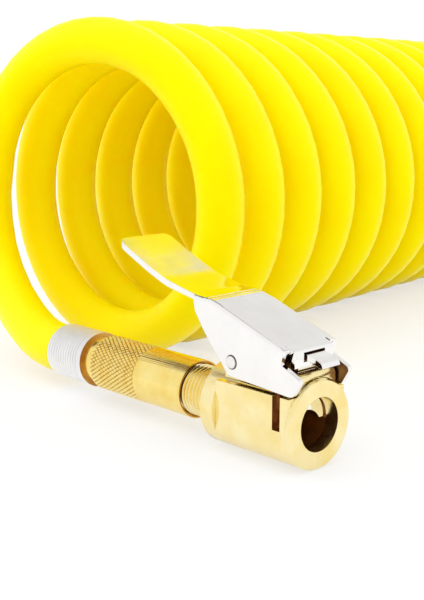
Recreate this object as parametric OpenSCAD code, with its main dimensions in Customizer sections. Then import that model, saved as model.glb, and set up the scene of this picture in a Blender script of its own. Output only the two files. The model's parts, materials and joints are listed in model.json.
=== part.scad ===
// Coiled air hose with a clip-on tyre chuck at one end and a swivel coupling at the other.
// Origin: centre of the tyre-valve bore's mouth. +X runs out of the bore, +Z is up.
// The hose lies on a flat surface half a ring's diameter below the origin.

/* [Hose] */
// Outside diameter of the hose
hose_od = 10.4; // [9:0.1:12]
// Inside diameter of the hose
hose_id = 6.5; // [6:0.25:7.5]

/* [Coil] */
// Diameter of the coil, at the middle of the hose
coil_mean_d = 68.6; // [56:0.2:90]
// Turns of the coil
coil_turns = 14; // [3:1:24]
// Distance from one turn to the next
coil_pitch = 14.7; // [12:0.1:20]

/* [Chuck body] */
// Diameter of the round ring at the mouth and of the collar at the rear
ring_d = 15.8; // [15:0.1:19]
// Diameter of the bore that goes over the tyre valve
valve_bore_d = 9.4; // [8.4:0.1:9.8]
// Depth of that bore, to the rubber seal
valve_bore_depth = 9.5; // [8.5:0.1:11.5]
// Width across the two milled sides
flats_w = 14; // [13.8:0.1:14.6]
// Height of the milled sides above the bore's axis
shoulder_h = 5.5; // [5:0.1:5.6]
// Distance from the mouth to the rear collar
block_len = 18; // [17.6:0.1:24]
// Width of the rear collar
rear_collar_w = 3.4; // [2:0.1:5]
// Width of the tongue between the lever's cheeks
tongue_w = 10.4; // [8.6:0.1:10.8]
// Height of the tongue's front above the bore's axis
tongue_h = 9; // [7.5:0.1:9.4]
// Length of the threaded spigot
spigot_len = 15.1; // [13:0.1:20]

/* [Thread] */
// Outside diameter of the pipe thread
thread_d = 9.73; // [9.2:0.01:9.9]
// Pitch of the thread
thread_pitch = 0.907; // [0.7:0.001:1.1]
// Depth of the thread
thread_depth = 0.58; // [0.4:0.01:0.65]

/* [Coupling] */
// Wall of the knurled nut, outside the thread
nut_wall = 0.735; // [0.6:0.005:2]
// Length of the knurled nut
nut_len = 27.7; // [24:0.1:36]
// Length of the nut's knurled part
knurl_len = 14.5; // [8:0.1:15]
// How far the spigot goes into the nut
thread_grip = 7.3; // [5.5:0.1:7.5]
// Thickness of the sealing washer
washer_t = 1.1; // [0.8:0.1:1.3]
// Diameter of the stem inside the nut
shaft_d = 7; // [6.4:0.1:7.4]
// Width of the stem's collar, between nut and ferrule
collar_w = 2.3; // [1.5:0.1:4]
// Bore of the stem
stem_bore_d = 4; // [3:0.1:4.4]

/* [Ferrule] */
// Wall of the crimped ferrule
ferrule_wall = 0.5; // [0.4:0.05:1]
// Length of the ferrule
ferrule_len = 11.7; // [10:0.1:16]

/* [Lever] */
// Thickness of the lever's sheet
lever_t = 1; // [0.8:0.05:1.1]
// Width of the thumb tab
tab_w = 12.4; // [8:0.1:12.8]
// Diameter of the lever's pin
pin_d = 2.4; // [2:0.1:2.6]

/* [Jaw] */
// Distance from the mouth to the middle of the jaw
jaw_setback = 3.6; // [3.4:0.1:4.6]
// Thickness of the jaw
jaw_t = 1.05; // [0.9:0.05:1.1]
// Radius of the jaw's edge, which grips the valve's thread
jaw_grip_r = 3.9; // [3.7:0.05:4]
// Width of the tang that the lever lifts
tang_w = 4.4; // [3.6:0.1:4.6]

/* [Hidden] */

round_fn = 96;
fine_fn = 48;
run_gap = 0.05;      // radial clearance of a piece that turns or slides
side_gap = 0.3;      // gap between faces of pieces that move apart

brass = "#e0c582";
nickel = "#dcdde0";
aluminium = "#cfd1d3";
hose_yellow = "#ffe400";
steel = "#b9bcc0";
black_rubber = "#2b2b2b";

// ---- surface, coil and routes ----
floor_z = -ring_d / 2;
hose_r = hose_od / 2;
coil_r = coil_mean_d / 2;
coil_yaw = 6.7;                      // the coil's axis, turned from +Y towards -X
coil_start = [-86.7, 23.5];          // where the axis of the coil begins
facet_r = 1.1 * hose_r;              // corners of the coil's six-sided section
flat_depth = hose_od / 10;           // how deep the coil is cut where it rests
coil_z = floor_z + coil_r + facet_r - flat_depth;
coil_from = 165;                     // angle at the chuck's end, from the near side over the top
coil_to = -90 - 360 * (coil_turns - 1);
rings_per_turn = 24;
coil_sides = 6;
tail_sides = 12;
tail_r = 1.02 * hose_r;              // corners of the tails' twelve-sided section
coil_axis = [-sin(coil_yaw), cos(coil_yaw), 0];
coil_side = [cos(coil_yaw), sin(coil_yaw), 0];

function unit(v) = v / norm(v);
function coil_point(a) = [coil_start.x, coil_start.y, coil_z]
    - coil_axis * coil_pitch * a / 360
    + coil_r * (cos(a) * coil_side + [0, 0, sin(a)]);

// The last stretch at each end is straight for one hose diameter.
end_angle = 2 * asin(hose_od / (2 * coil_r));
coil_steps = ceil((coil_from - end_angle - coil_to) / (360 / rings_per_turn));
coil_path = [
    coil_point(coil_from),
    for (i = [0:coil_steps])
        coil_point(coil_from - end_angle - i * (coil_from - end_angle - coil_to) / coil_steps),
    coil_point(coil_to) - coil_side * hose_od
];

// The free stretch from the chuck's ferrule up to the coil, by hand.
chuck_tail_route = [[-76, 0, 0], [-80, 0.3, 0.4], [-84, 0.8, 1.3], [-88, 1.6, 2.5], [-92, 2.4, 4],
    [-99.5, 4.2, 7.4], [-106, 6, 11.7], [-112.2, 8.1, 17.2], [-116.6, 10, 23.5], [-118.8, 11.3, 30]];
// The free stretch from the coil to the inlet's ferrule: distance from the coil, and rise.
inlet_tail_route = [[4, 0], [8, 0.13], [13, 0.5], [18, 0.92], [22, 1.05]];
inlet_tail_run = 25.6;

// ---- stations of a coupling, behind its nut's mouth ----
mouth_step = 0.8;
thread_wall_end = 0.3 - thread_grip;  // where the nut's thread ends, short of the washer
head_front = -thread_grip - washer_t;
head_t = 2.8;
head_rear = head_front - head_t;
nut_shoulder = head_rear - side_gap;
collar_front = -nut_len - side_gap;
collar_rear = collar_front - collar_w;
ferrule_end_t = 0.7;
ferrule_mouth = collar_rear - ferrule_len;
ferrule_r = hose_r + ferrule_wall;
nut_r = thread_d / 2 + nut_wall;
nut_bore_r = thread_d / 2 + run_gap;
shaft_r = shaft_d / 2;
stem_bore_r = stem_bore_d / 2;
barb_len = ferrule_len - ferrule_end_t - 1;

// ---- stations of the chuck, behind its mouth ----
ring_r = ring_d / 2;
valve_bore_r = valve_bore_d / 2;
flange_w = 0.8;
block_rear = -block_len;
collar_back = block_rear - rear_collar_w;
spigot_end = collar_back - spigot_len;
thread_r = thread_d / 2;
thread_root_r = thread_r - thread_depth;
chuck_nut_mouth = spigot_end + thread_grip;
seal_t = 2.5;
guide_r = valve_bore_r - 0.2;         // the bore behind the jaw
seal_r = guide_r - 0.05;
seat_front = -valve_bore_depth - seal_t;
seat_t = 2;
seat_rear = seat_front - seat_t;
seat_r = 2.2;
chamber_r = 3;

// ---- jaw and its slot ----
slot_w = jaw_t + 0.2;
slot_mid = -jaw_setback;
slot_floor = -0.35;
jaw_bottom = slot_floor + 0.2;
jaw_drop = 2.1;                      // how far the jaw hangs below its grip on a valve
jaw_wide = flats_w - 1.4;
jaw_wide_top = 2.4;
jaw_mid_w = tongue_w - 0.6;
jaw_mid_top = tongue_h - 0.6;
tang_top = tongue_h + 3.2;
tang_reach = 2.2;
tang_slope_x = -1.2;

// ---- lever, pivot and spring ----
pivot = [-14.4, tongue_h + 0.2];
ear_r = 2.9;
cheek_gap = 0.45;
cheek_in = tongue_w / 2 + cheek_gap;
cheek_out = cheek_in + lever_t;
top_slope = 19.6;
wall_lean = 3;                       // the front wall's foot is set back
wall_w = 2 * cheek_in - 0.5;
wall_h = 2.9;
bend_r = lever_t + 0.2;
bend_corner = [13, 3.74];            // from the pivot to where top and front wall would meet
plate_front = 12;                    // from the pivot to the top's front edge
cheek_rear = -9.6;
window_w = tang_w + 0.8;
window_z = [tang_top - jaw_t - 0.2, tang_top + 0.3];
spring_wire = 0.7;
spring_r = pin_d / 2 + 0.4 + spring_wire / 2;
spring_turns = 3;
spring_lift = 0.9;
spring_slot_w = 5.2;
spring_slot_floor = shoulder_h + 0.1;
spring_leg_angle = 38;

// ---- shared shapes ----
module turned(profile, fn = round_fn)
    rotate([0, 90, 0]) rotate_extrude($fn = fn) polygon(profile);

module drill(r, from, to, fn = round_fn)
    translate([min(from, to), 0, 0]) rotate([0, 90, 0]) cylinder(r = r, h = abs(from - to), $fn = fn);

module across(w) rotate([90, 0, 0]) linear_extrude(w, center = true) children();

function arc(c, r, a0, a1, n) = [for (i = [0:n]) let (a = a0 + (a1 - a0) * i / n) c + r * [cos(a), sin(a)]];

// The outline of a bent strip: a line of points, thickened by t to its left.
function strip(line, t) = concat(line, [for (i = [len(line) - 1:-1:0])
    let (a = line[max(i - 1, 0)], b = line[min(i + 1, len(line) - 1)], d = unit(b - a))
    line[i] + t * [-d.y, d.x]]);

// One closed tube along a path, with its first corner half a side from the reference direction.
function tube_ring(path, i, ref, r, sides) =
    let (last = len(path) - 1,
        t = unit(unit(path[min(i + 1, last)] - path[min(i, last - 1)])
            + unit(path[max(i, 1)] - path[max(i - 1, 0)])),
        n = unit(ref - (ref * t) * t), b = cross(t, n))
    [for (k = [0:sides - 1]) let (a = 360 * (k + 0.5) / sides) path[i] + r * (cos(a) * n + sin(a) * b)];

module tube(path, ref, r, sides) {
    last = len(path) - 1;
    points = [for (i = [0:last]) each tube_ring(path, i, ref, r, sides)];
    sides_faces = [for (i = [0:last - 1], k = [0:sides - 1], half = [0, 1])
        let (a = i * sides + k, b = i * sides + (k + 1) % sides)
        half == 0 ? [a, a + sides, b] : [b, a + sides, b + sides]];
    caps = [for (k = [1:sides - 2], end = [0, 1])
        end == 0 ? [0, k, k + 1] : [last * sides, last * sides + k + 1, last * sides + k]];
    polyhedron(points, concat(sides_faces, caps));
}

module above_floor() difference() {
    children();
    translate([-1000, -1000, floor_z - 100]) cube([2000, 2000, 100]);
}

// ---- hose ----
module hose_coil() color(hose_yellow)
    above_floor() tube(coil_path, coil_axis, facet_r, coil_sides);

// The hose's cut end, over the barbs and inside the ferrule.
module hose_end() difference() {
    drill(hose_r, collar_rear - ferrule_end_t, ferrule_mouth, fine_fn);
    drill(hose_id / 2, 0, ferrule_mouth + 0.5, fine_fn);
}

module chuck_hose_tail() color(hose_yellow) {
    translate([chuck_nut_mouth, 0, 0]) hose_end();
    tube(concat([[chuck_nut_mouth + ferrule_mouth, 0, 0]], chuck_tail_route,
        [coil_path[0] + hose_r * unit(coil_path[0] - coil_path[1]), coil_path[0]]),
        coil_axis, tail_r, tail_sides);
}

inlet_tail_start = coil_path[len(coil_path) - 1];
inlet_axis_z = floor_z + ferrule_r;
inlet_tail_end = [inlet_tail_start.x, inlet_tail_start.y, inlet_axis_z] - coil_side * inlet_tail_run;
inlet_mouth = inlet_tail_end + coil_side * ferrule_mouth;

module inlet_hose_tail() color(hose_yellow) {
    at_inlet() hose_end();
    above_floor() tube(concat([inlet_tail_start],
        [for (p = inlet_tail_route) inlet_tail_start - coil_side * p.x + [0, 0, p.y]],
        [inlet_tail_end]), coil_axis, tail_r, tail_sides);
}

module at_chuck() translate([chuck_nut_mouth, 0, 0]) children();
module at_inlet() translate(inlet_mouth) rotate([0, 0, 180 + coil_yaw]) children();

// ---- pieces of a coupling ----
// Thin sleeve with an end wall, crimped in a row of fine rings.
module ferrule() {
    crimp_pitch = 1.05;
    crimp_depth = 0.2;
    rim_w = 1.2;
    rings = floor((ferrule_len - rim_w - 0.8) / crimp_pitch);
    first = collar_rear - rim_w;
    color(aluminium) turned(concat(
        [[shaft_r - 0.35, collar_rear], [ferrule_r - 0.25, collar_rear], [ferrule_r, collar_rear - 0.25],
            [ferrule_r, first]],
        [for (i = [0:rings - 1], k = [0:1])
            [ferrule_r - crimp_depth * (k == 0 ? 1 : 0.15), first - crimp_pitch * (i + 0.35 + 0.5 * k)]],
        [[ferrule_r - 0.1, ferrule_mouth + 0.2], [ferrule_r - 0.3, ferrule_mouth], [hose_r, ferrule_mouth],
            [hose_r, collar_rear - ferrule_end_t], [shaft_r - 0.35, collar_rear - ferrule_end_t]]));
}

// Head inside the nut, shaft, collar, and a barbed tail inside the hose.
module stem() {
    neck_r = shaft_r - 0.4;
    barb_r = hose_id / 2 + 0.25;
    barb_root = hose_id / 2 - 0.35;
    barbs = 4;
    barb_from = collar_rear - ferrule_end_t - 0.6;
    barb_pitch = (barb_len - 0.6) / barbs;
    color(brass) turned(concat(
        [[stem_bore_r, head_front], [thread_root_r - 0.35, head_front], [thread_root_r, head_front - 0.35],
            [thread_root_r, head_rear], [shaft_r, head_rear], [shaft_r, collar_front],
            [nut_r - 0.9, collar_front], [nut_r - 0.7, collar_front - 0.2],
            [nut_r - 0.7, collar_rear], [neck_r, collar_rear], [neck_r, barb_from]],
        [for (i = [0:barbs - 1], k = [0:1]) let (x = barb_from - barb_pitch * i)
            [k == 0 ? barb_r : barb_root, k == 0 ? x - 0.15 : x - barb_pitch]],
        [[stem_bore_r, barb_from - barb_pitch * barbs]]));
}

// Long knurled nut that turns on the stem. Its mouth has a thin plain lip.
module nut() {
    lip_r = nut_r - 0.45;
    relief_r = nut_bore_r + 0.2;
    knurl_from = -nut_len + knurl_len;
    chamfer = 0.6;
    color(brass) turned([[lip_r, 0], [nut_r - 0.15, 0], [nut_r - 0.05, -0.2], [nut_r - 0.05, knurl_from],
        [nut_r, knurl_from - 0.1], [nut_r, -nut_len + chamfer], [nut_r - chamfer, -nut_len],
        [shaft_r + run_gap, -nut_len], [shaft_r + run_gap, nut_shoulder], [relief_r, nut_shoulder],
        [relief_r, thread_wall_end], [nut_bore_r, thread_wall_end], [nut_bore_r, -mouth_step],
        [lip_r, -mouth_step]]);
}

module washer() color(black_rubber)
    turned([[stem_bore_r + 0.5, -thread_grip], [thread_root_r, -thread_grip],
        [thread_root_r, head_front], [stem_bore_r + 0.5, head_front]]);

module chuck_ferrule() at_chuck() ferrule();
module inlet_ferrule() at_inlet() ferrule();
module chuck_stem() at_chuck() stem();
module inlet_stem() at_inlet() stem();
module chuck_nut() at_chuck() nut();
module inlet_nut() at_inlet() nut();
module chuck_washer() at_chuck() washer();
module inlet_washer() at_inlet() washer();

// ---- chuck body ----
// Round below, square-shouldered above.
module block_section() {
    intersection() {
        circle(r = ring_r, $fn = round_fn);
        square([flats_w, ring_d], center = true);
    }
    translate([-flats_w / 2, 0]) square([flats_w, shoulder_h]);
}

// Low ridge with a rounded nose, and the ear that carries the pin.
module tongue_side() {
    nose_x = -1.2;
    nose_r = 1.4;
    foot = shoulder_h - 0.5;
    ridge_rear = pivot.x + ear_r - 0.5;
    translate([ridge_rear, foot]) square([nose_x - nose_r - ridge_rear, tongue_h - foot]);
    translate([ridge_rear, foot]) square([nose_x - ridge_rear, tongue_h - nose_r - foot]);
    translate([nose_x - nose_r, tongue_h - nose_r]) circle(r = nose_r, $fn = fine_fn);
    translate([pivot.x - ear_r, foot]) square([2 * ear_r, pivot.y - foot]);
    translate(pivot) circle(r = ear_r, $fn = fine_fn);
}

module spigot() {
    relief_w = 1.1;
    first = collar_back - relief_w;
    ridges = floor((spigot_len - relief_w - 0.4) / thread_pitch);
    turned(concat(
        [[0, collar_back + 0.5], [thread_root_r - 0.1, collar_back + 0.5], [thread_root_r - 0.1, first]],
        [for (i = [0:ridges - 1], k = [0:2])
            [k == 0 ? thread_root_r : thread_r, first - thread_pitch * (i + [0, 0.38, 0.62][k])]],
        [[thread_root_r, first - thread_pitch * ridges], [thread_root_r - 0.3, spigot_end], [0, spigot_end]]));
}

module chuck_body() color(brass) difference() {
    union() {
        turned([[0, 0], [ring_r - 0.4, 0], [ring_r, -0.4], [ring_r, -flange_w], [0, -flange_w]]);
        translate([block_rear, 0, 0]) rotate([90, 0, 90]) linear_extrude(block_len - flange_w) block_section();
        turned([[0, block_rear], [ring_r, block_rear], [ring_r, collar_back + 0.3],
            [ring_r - 0.3, collar_back], [0, collar_back]]);
        across(tongue_w) tongue_side();
        spigot();
    }
    drill(valve_bore_r, 1, slot_mid + slot_w / 2);
    drill(guide_r, 0, -valve_bore_depth);
    drill(seal_r, 0, seat_front);
    drill(seat_r, 0, seat_rear - 1);
    drill(chamber_r, seat_rear, spigot_end - 1);
    // slot for the jaw
    translate([slot_mid - slot_w / 2, -ring_d, slot_floor]) cube([slot_w, 2 * ring_d, 2 * ring_d]);
    // notch for the lever's spring, and its pin's hole
    translate([block_rear - 1, -spring_slot_w / 2, spring_slot_floor])
        cube([pivot.x + ear_r + 0.2 - block_rear + 1, spring_slot_w, ring_d]);
    translate([pivot.x, 0, pivot.y]) rotate([90, 0, 0])
        cylinder(r = pin_d / 2, h = 2 * ring_d, center = true, $fn = fine_fn);
}

// ---- valve inside the chuck ----
pin_tip = -7.6;
pin_stem_r = 1.05;
flange_front = seat_rear - 0.05 - 1.15;
flange_rear = flange_front - 1.4;
pin_tail = flange_rear - 3.4;
retainer_front = -25.5;
retainer_t = 3;

module valve_seal() color(black_rubber)
    turned([[pin_stem_r + 0.75, -valve_bore_depth], [seal_r, -valve_bore_depth], [seal_r, seat_front],
        [pin_stem_r + 0.75, seat_front]]);

// Presses the tyre valve's core, and is pressed back itself off the seat.
module valve_pin() color(brass) difference() {
    turned([[0, pin_tip], [pin_stem_r - 0.3, pin_tip], [pin_stem_r, pin_tip - 0.3], [pin_stem_r, flange_front],
        [chamber_r - 0.08, flange_front], [chamber_r - 0.08, flange_rear], [pin_stem_r, flange_rear],
        [pin_stem_r, pin_tail + 0.3], [pin_stem_r - 0.3, pin_tail], [0, pin_tail]]);
    for (a = [0, 120, 240])
        rotate([a, 0, 0]) translate([flange_rear - 0.5, -chamber_r, chamber_r - 0.7])
            cube([flange_front - flange_rear + 1, 2 * chamber_r, chamber_r]);
}

module pin_seal() color(black_rubber)
    turned([[pin_stem_r, seat_rear - 0.05], [chamber_r - 0.3, seat_rear - 0.05],
        [chamber_r - 0.3, flange_front], [pin_stem_r, flange_front]]);

module pin_spring() {
    wire = 0.5;
    r = 2.05;
    turns = 6;
    steps = 8;
    from = flange_rear - wire / 2 - 0.05;
    to = retainer_front + wire / 2 + 0.05;
    path = [for (i = [0:turns * steps]) let (a = 360 * i / steps)
        [from + (to - from) * i / (turns * steps), r * cos(a), r * sin(a)]];
    color(steel) tube(path, [1, 0, 0], wire / 2, 6);
}

module spring_retainer() {
    hole_r = 1.4;
    slot = 0.8;
    color(brass) difference() {
        turned([[hole_r, retainer_front], [chamber_r - run_gap, retainer_front],
            [chamber_r - run_gap, retainer_front - retainer_t], [hole_r, retainer_front - retainer_t]]);
        translate([retainer_front - retainer_t - 1, -chamber_r - 1, -slot / 2])
            cube([1.8, 2 * chamber_r + 2, slot]);
    }
}

// ---- jaw ----
// Sheet plate with a half-round gripping edge. Its stem bends forward into a tang.
module jaw() color(nickel) {
    translate([slot_mid - jaw_t / 2, 0, 0]) rotate([90, 0, 90]) linear_extrude(jaw_t) difference() {
        union() {
            translate([-jaw_wide / 2, jaw_bottom]) square([jaw_wide, jaw_wide_top - jaw_bottom]);
            translate([-jaw_mid_w / 2, 0]) square([jaw_mid_w, jaw_mid_top]);
            translate([-tang_w / 2, 0]) square([tang_w, tang_top - 1.3]);
        }
        translate([0, -jaw_drop]) circle(r = jaw_grip_r, $fn = round_fn);
    }
    rear = slot_mid - jaw_t / 2;
    lip_r = 1.2;
    slope = 16;
    knee = [tang_slope_x, tang_top];
    lip = [tang_reach - lip_r, tang_top - (tang_reach - lip_r - tang_slope_x) * tan(slope) - lip_r];
    line = concat([[rear, tang_top - 1.4]], arc([rear + 1.3, tang_top - 1.3], 1.3, 180, 90, 8), [knee],
        arc(lip, lip_r, 90 - slope, 0, 6));
    across(tang_w) polygon(strip([for (i = [len(line) - 1:-1:0]) line[i]], jaw_t));
}

// ---- lever ----
// Its outlines are measured from the pivot.
// Outside of the bent sheet, from the foot of its front wall, over the top to the thumb tab.
function lever_top_z(x) = bend_corner.y + (bend_corner.x - x) * tan(top_slope);
wall_up = [sin(wall_lean), cos(wall_lean)];
top_back = [-cos(top_slope), sin(top_slope)];
bend_run = bend_r * tan((90 - top_slope + wall_lean) / 2);
bend_centre = bend_corner - bend_run * wall_up + bend_r * [-wall_up.y, wall_up.x];
wall_line = concat([bend_corner - wall_h * wall_up],
    arc(bend_centre, bend_r, -wall_lean, 90 - top_slope, 8), [bend_corner + 3 * top_back]);
lever_crest = [-5.1, lever_top_z(-5.1)];
top_line = [[plate_front, lever_top_z(plate_front)], lever_crest, [-7.1, 10.55], [-9.8, 10.75],
    [-14.1, 11.2], [-16.2, 11.6], [-18, 12.4], [-23.6, 15.3], [-31.6, 19.2]];

module cheek() {
    over_ring = sqrt(pow(ring_r, 2) - pow(cheek_in, 2)) + 0.25;
    bottom = max(shoulder_h + 0.3, over_ring) - pivot.y;
    toe = [14.75, bottom + 2.7];
    toe_low = [13.4, bottom + 1.1];
    heel = [-0.2, bottom + 2.2];
    polygon(concat(
        [[plate_front, lever_top_z(plate_front) - 0.3], [11.8, 3.1], [11.4, 1.9], [11.6, 1.6], [13.4, 0.8]],
        arc(toe, 0.8, 65, -15, 5),
        arc(toe_low, 1.1, -25, -84, 4),
        arc(heel, 1.35, -84, -141, 4),
        [[-2.6, -0.4], [-4.4, 1.5], [-6.9, 4.6], [-9.1, 7.7], [cheek_rear, 10.2], [-7.1, 10.1],
            [lever_crest.x, lever_crest.y - 0.3]]));
}

// Seen from above, the part behind the cheeks narrows to a tab with round corners.
module lever_plan() {
    corner = 1.7;
    tip = top_line[len(top_line) - 1].x + 0.5;
    translate([cheek_rear, -cheek_out]) square([plate_front - cheek_rear + 1, 2 * cheek_out]);
    translate([tip + corner, -tab_w / 2]) square([cheek_rear - tip - corner + 0.1, tab_w]);
    translate([tip, -tab_w / 2 + corner]) square([cheek_rear - tip, tab_w - 2 * corner]);
    for (s = [-1, 1]) translate([tip + corner, s * (tab_w / 2 - corner)]) circle(r = corner, $fn = fine_fn);
}

module lever() color(nickel) difference() {
    translate([pivot.x, 0, pivot.y]) {
        intersection() {
            across(2 * cheek_out) polygon(strip(top_line, lever_t));
            linear_extrude(40) lever_plan();
        }
        across(wall_w) polygon(strip(wall_line, lever_t));
        for (s = [-1, 1]) translate([0, s * (cheek_out + cheek_in) / 2, 0]) across(lever_t) cheek();
    }
    // window for the jaw's tang
    translate([pivot.x + bend_corner.x - 3, -window_w / 2, window_z[0]])
        cube([5, window_w, window_z[1] - window_z[0]]);
    translate([pivot.x, 0, pivot.y]) rotate([90, 0, 0])
        cylinder(r = pin_d / 2 + run_gap, h = 4 * cheek_out, center = true, $fn = fine_fn);
}

module lever_pin() {
    half = cheek_out + 0.35;
    r = pin_d / 2;
    color(steel) translate([pivot.x, 0, pivot.y]) rotate([90, 0, 0]) rotate_extrude($fn = fine_fn)
        polygon([[0, -half], [r * 0.5, -half + 0.04], [r * 0.85, -half + 0.16], [r, -half + 0.4],
            [r, half - 0.4], [r * 0.85, half - 0.16], [r * 0.5, half - 0.04], [0, half]]);
}

// Torsion spring on the pin: one leg lies on the body, the other lifts the lever's tail.
module lever_spring() {
    steps = 8;
    sweep_angle = 360 * spring_turns + 90 + spring_leg_angle;
    half_w = spring_lift * sweep_angle / 720;
    loop = [for (i = [0:ceil(sweep_angle / (360 / steps))])
        let (f = i / ceil(sweep_angle / (360 / steps)), a = -90 + f * sweep_angle)
        [pivot.x + spring_r * cos(a), half_w * (1 - 2 * f), pivot.y + spring_r * sin(a)]];
    leg_gap = 0.61;                  // from the upper leg's end up to the lever's top
    leg_rise = lever_top_z(spring_r * cos(spring_leg_angle)) - lever_t / cos(top_slope)
        - spring_r * sin(spring_leg_angle) - leg_gap;
    top_leg = leg_rise / (cos(spring_leg_angle) - sin(spring_leg_angle) * tan(top_slope));
    lower_end = [block_rear - 0.4, half_w, spring_slot_floor + spring_wire / 2 + 0.05];
    upper_end = loop[len(loop) - 1] + top_leg * [-sin(spring_leg_angle), 0, cos(spring_leg_angle)];
    color(steel) tube(concat([lower_end], loop, [upper_end]), [0, 1, 0], spring_wire / 2, 6);
}

// ---- least gap of the coil to itself ----
near_rings = rings_per_turn / 2;
coil_gap = min([for (i = [0:len(coil_path) - 1], j = [i + near_rings:min(i + 3 * near_rings, len(coil_path) - 1)])
    norm(coil_path[i] - coil_path[j])]) - 2 * facet_r;
echo(least_gap_of_the_coil_to_itself_mm = coil_gap);

hose_coil();
chuck_hose_tail();
inlet_hose_tail();
chuck_ferrule();
inlet_ferrule();
chuck_stem();
inlet_stem();
chuck_nut();
inlet_nut();
chuck_washer();
inlet_washer();
chuck_body();
valve_seal();
valve_pin();
pin_seal();
pin_spring();
spring_retainer();
jaw();
lever();
lever_pin();
lever_spring();
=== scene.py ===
import json
import math

import bmesh
import bpy
from mathutils import Matrix, Vector


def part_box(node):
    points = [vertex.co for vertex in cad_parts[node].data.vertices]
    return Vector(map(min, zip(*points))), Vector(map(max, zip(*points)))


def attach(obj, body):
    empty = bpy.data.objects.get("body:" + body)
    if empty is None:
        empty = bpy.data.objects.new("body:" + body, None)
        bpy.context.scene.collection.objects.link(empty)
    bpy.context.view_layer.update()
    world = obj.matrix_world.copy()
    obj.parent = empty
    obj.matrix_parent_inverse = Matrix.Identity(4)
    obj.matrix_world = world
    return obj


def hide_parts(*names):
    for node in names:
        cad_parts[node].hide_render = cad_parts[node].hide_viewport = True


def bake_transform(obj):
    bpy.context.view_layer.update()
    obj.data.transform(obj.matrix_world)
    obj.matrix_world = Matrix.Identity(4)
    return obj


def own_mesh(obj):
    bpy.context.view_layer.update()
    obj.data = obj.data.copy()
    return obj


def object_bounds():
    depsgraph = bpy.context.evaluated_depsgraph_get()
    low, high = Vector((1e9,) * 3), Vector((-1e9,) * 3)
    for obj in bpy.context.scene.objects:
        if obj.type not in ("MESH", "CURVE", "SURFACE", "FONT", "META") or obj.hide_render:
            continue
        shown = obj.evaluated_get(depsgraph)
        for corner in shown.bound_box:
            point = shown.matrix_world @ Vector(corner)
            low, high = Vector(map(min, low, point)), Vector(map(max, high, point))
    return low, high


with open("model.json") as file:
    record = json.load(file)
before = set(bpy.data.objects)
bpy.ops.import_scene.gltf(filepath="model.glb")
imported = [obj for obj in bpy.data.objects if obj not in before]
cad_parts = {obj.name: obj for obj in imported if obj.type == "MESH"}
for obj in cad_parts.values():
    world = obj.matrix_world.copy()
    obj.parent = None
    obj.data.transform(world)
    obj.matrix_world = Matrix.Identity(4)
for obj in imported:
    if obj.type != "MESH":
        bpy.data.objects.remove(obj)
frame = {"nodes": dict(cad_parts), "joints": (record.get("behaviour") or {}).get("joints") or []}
cad_low, cad_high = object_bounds()
MM = 0.001

# ------------------------------------------------------------------ camera
# A small studio camera, low in front of the chuck's mouth and a little to its side,
# with a short telephoto lens.
camera_place = Vector((107.97, -126.79, 54.22)) * MM
camera_tilt = math.radians(11.28)
camera_heading = Vector((-0.727, 0.687, 0)).normalized()
focal_px = 1038.3
frame_height_px = 600

camera_data = bpy.data.cameras.new("camera")
camera_data.sensor_width = 36
camera_data.lens = focal_px / frame_height_px * camera_data.sensor_width
camera_data.clip_start = 0.005
camera = bpy.data.objects.new("camera", camera_data)
bpy.context.scene.collection.objects.link(camera)
looking = camera_heading * math.cos(camera_tilt) - Vector((0, 0, math.sin(camera_tilt)))
camera.location = camera_place
camera.rotation_euler = looking.to_track_quat("-Z", "Y").to_euler()
bpy.context.scene.camera = camera

# -------------------------------------------------------------------- hose
# Recoil hose of extruded polyurethane, 10.4 x 6.5 mm, wound hot on a mandrel so that it
# springs back into a coil. Its two ends run straight into the crimped ferrules.
hose_d = 10.4 * MM
floor_z = cad_low.z
coil_r = 34.3 * MM
coil_pitch = 14.7 * MM
coil_start = Vector((-86.7 * MM, 23.5 * MM, floor_z + coil_r + hose_d / 2))
coil_yaw = math.radians(6.7)
whole_turns = 13
coil_from = 165
coil_to = -90 - 360 * whole_turns
coil_step = 7.5
coil_axis = Vector((-math.sin(coil_yaw), math.cos(coil_yaw), 0))
coil_side = Vector((math.cos(coil_yaw), math.sin(coil_yaw), 0))
ferrule_mouth = Vector((-71.2, 0, 0)) * MM
inside_ferrule = Vector((8, 0, 0)) * MM
# In mm: places on the chuck's tail, run and rise of the inlet's tail from the end of the coil, and how
# far forward the coil's turns have settled, by their number from the chuck's end.
chuck_tail_route = [(-76, 0, 0), (-80, 0.3, 0.4), (-84, 0.8, 1.3), (-88, 1.6, 2.5), (-92, 2.4, 4),
                    (-99.5, 4.2, 7.4), (-106, 6, 11.7), (-112.2, 8.1, 17.2), (-116.6, 10, 23.5),
                    (-118.8, 11.3, 30)]
inlet_tail_route = [(4, 0), (8, 0.08), (13, 0.3), (18, 0.46), (22, 0.5), (28, 0.5), (36, 0.5), (44, 0.5)]
settled = [(0, 0), (1, 0.5), (2, 0.9), (3, 1.15), (4, 1.2), (12, 0)]


def along(profile, x):
    """Height of a profile of (x, height) at x."""
    for (x0, z0), (x1, z1) in zip(profile, profile[1:]):
        if x <= x1:
            return z0 + (z1 - z0) * max(0, x - x0) / (x1 - x0)
    return profile[-1][1]


def coil_point(degrees):
    """A point on the winding, whose turns have settled forward a little on one side."""
    a = math.radians(degrees)
    forward = along(settled, -(degrees + 180) / 360) * MM * (1 - math.cos(a)) / 2
    return (coil_start - coil_axis * (coil_pitch * degrees / 360 + forward)
            + coil_r * (coil_side * math.cos(a) + Vector((0, 0, math.sin(a)))))


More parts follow.
